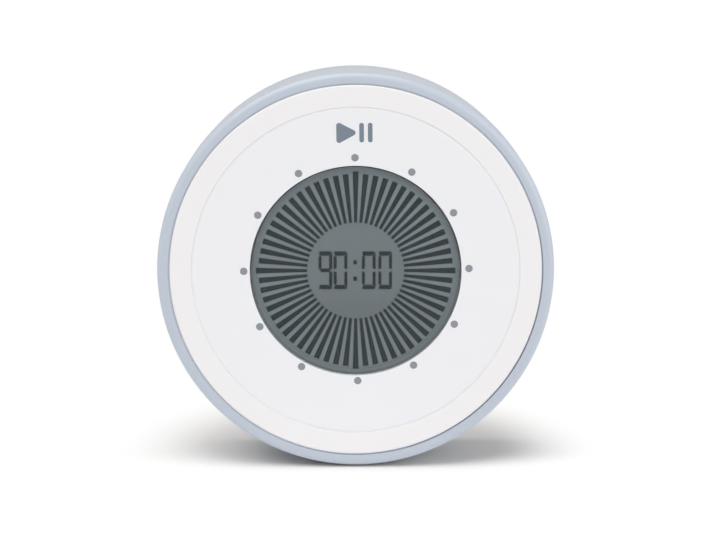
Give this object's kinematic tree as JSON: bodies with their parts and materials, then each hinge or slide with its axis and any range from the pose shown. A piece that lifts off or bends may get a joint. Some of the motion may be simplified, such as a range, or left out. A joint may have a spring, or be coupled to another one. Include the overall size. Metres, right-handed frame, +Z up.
{
  "type": "visual timer",
  "caption": "Round upright digital visual timer: twist ring sets the time, the white face is pressed to start, a round display counts down; magnets and battery door on the back.",
  "frame": {"origin": "on the standing surface, below the middle of the timer's box", "axes": "+Z up, the face looks along -Y, +X to the right as the face is read"},
  "size_m": [0.08, 0.028, 0.0804],
  "materials": {
    "ring_plastic": "satin grey-blue moulded plastic",
    "shell_plastic": "fine matt grey-blue moulded plastic",
    "white_plastic": "smooth satin white plastic",
    "inner_plastic": "plain moulded plastic",
    "dark_plastic": "matt dark plastic",
    "knob_plastic": "matt mid-grey plastic",
    "lens": "clear polished window",
    "display": "liquid-crystal cell, grey field",
    "display_ink": "dark liquid-crystal segments",
    "dot_print": "pad print, light grey-blue",
    "mark_print": "pad print, grey-blue",
    "rubber": "matt dark rubber",
    "board": "green solder mask",
    "steel": "plated steel",
    "cell_wrap": "plain wrapped steel can",
    "lead": "insulated wire"
  },
  "bodies": {
    "base": {"rear_base": "shell_plastic", "foot_pad": "rubber", "core_frame": "inner_plastic", "face_bezel": "white_plastic", "display_lens": "lens", "lens_gasket": "dark_plastic", "lcd_glass": "display", "lcd_minute_bars": "display_ink", "lcd_digits": "display_ink", "lcd_reflector": "inner_plastic", "lcd_holder": "inner_plastic", "zebra_strips": "rubber", "main_board": "board", "controller_chip": "dark_plastic", "crystal": "steel", "hall_sensor": "dark_plastic", "start_switch": "dark_plastic", "return_springs": "steel", "encoder_axle": "steel", "detent_spring": "steel", "buzzer": "dark_plastic", "battery_cell_upper": "cell_wrap", "battery_cell_lower": "cell_wrap", "battery_springs": "steel", "contact_plates": "steel", "battery_leads": "lead", "volume_switch": "dark_plastic", "magnets": "steel", "housing_screws": "steel", "board_screws": "steel"},
    "ring": {"twist_ring": "ring_plastic"},
    "pinion": {"encoder_pinion": "inner_plastic", "encoder_magnet": "steel"},
    "button": {"face_button": "white_plastic", "minute_dots": "dot_print", "play_pause_mark": "mark_print"},
    "plunger": {"switch_plunger": "inner_plastic"},
    "knob": {"volume_knob": "knob_plastic"},
    "door": {"battery_door": "shell_plastic", "battery_door_screw": "steel"}
  },
  "joints": [
    {"name": "ring_turn", "type": "hinge", "parent": "base", "child": "ring", "pos_m": [0, 0, 0.0404], "axis": [0, 1, 0], "continuous": true},
    {"name": "pinion_spin", "type": "hinge", "parent": "base", "child": "pinion", "pos_m": [0, 0, 0.00944], "axis": [0, 1, 0], "continuous": true},
    {"name": "face_press", "type": "slide", "parent": "base", "child": "button", "axis": [0, 1, 0], "range_m": [0, 0.0006], "stiffness_N_per_m": 800, "springref_m": -0.0005, "deforming": ["return_springs"]},
    {"name": "plunger_slide", "type": "slide", "parent": "base", "child": "plunger", "axis": [0, 1, 0], "range_m": [0, 0.0006]},
    {"name": "volume_slide", "type": "slide", "parent": "base", "child": "knob", "axis": [1, 0, 0], "range_m": [-0.0025, 0.0025]},
    {"name": "door_lift", "type": "slide", "parent": "base", "child": "door", "axis": [0, 1, 0], "range_m": [0, 0.02]}
  ],
  "couplings": [
    {"joint": "pinion_spin", "follows": "ring_turn", "ratio": 6},
    {"joint": "plunger_slide", "follows": "face_press", "ratio": 1}
  ]
}
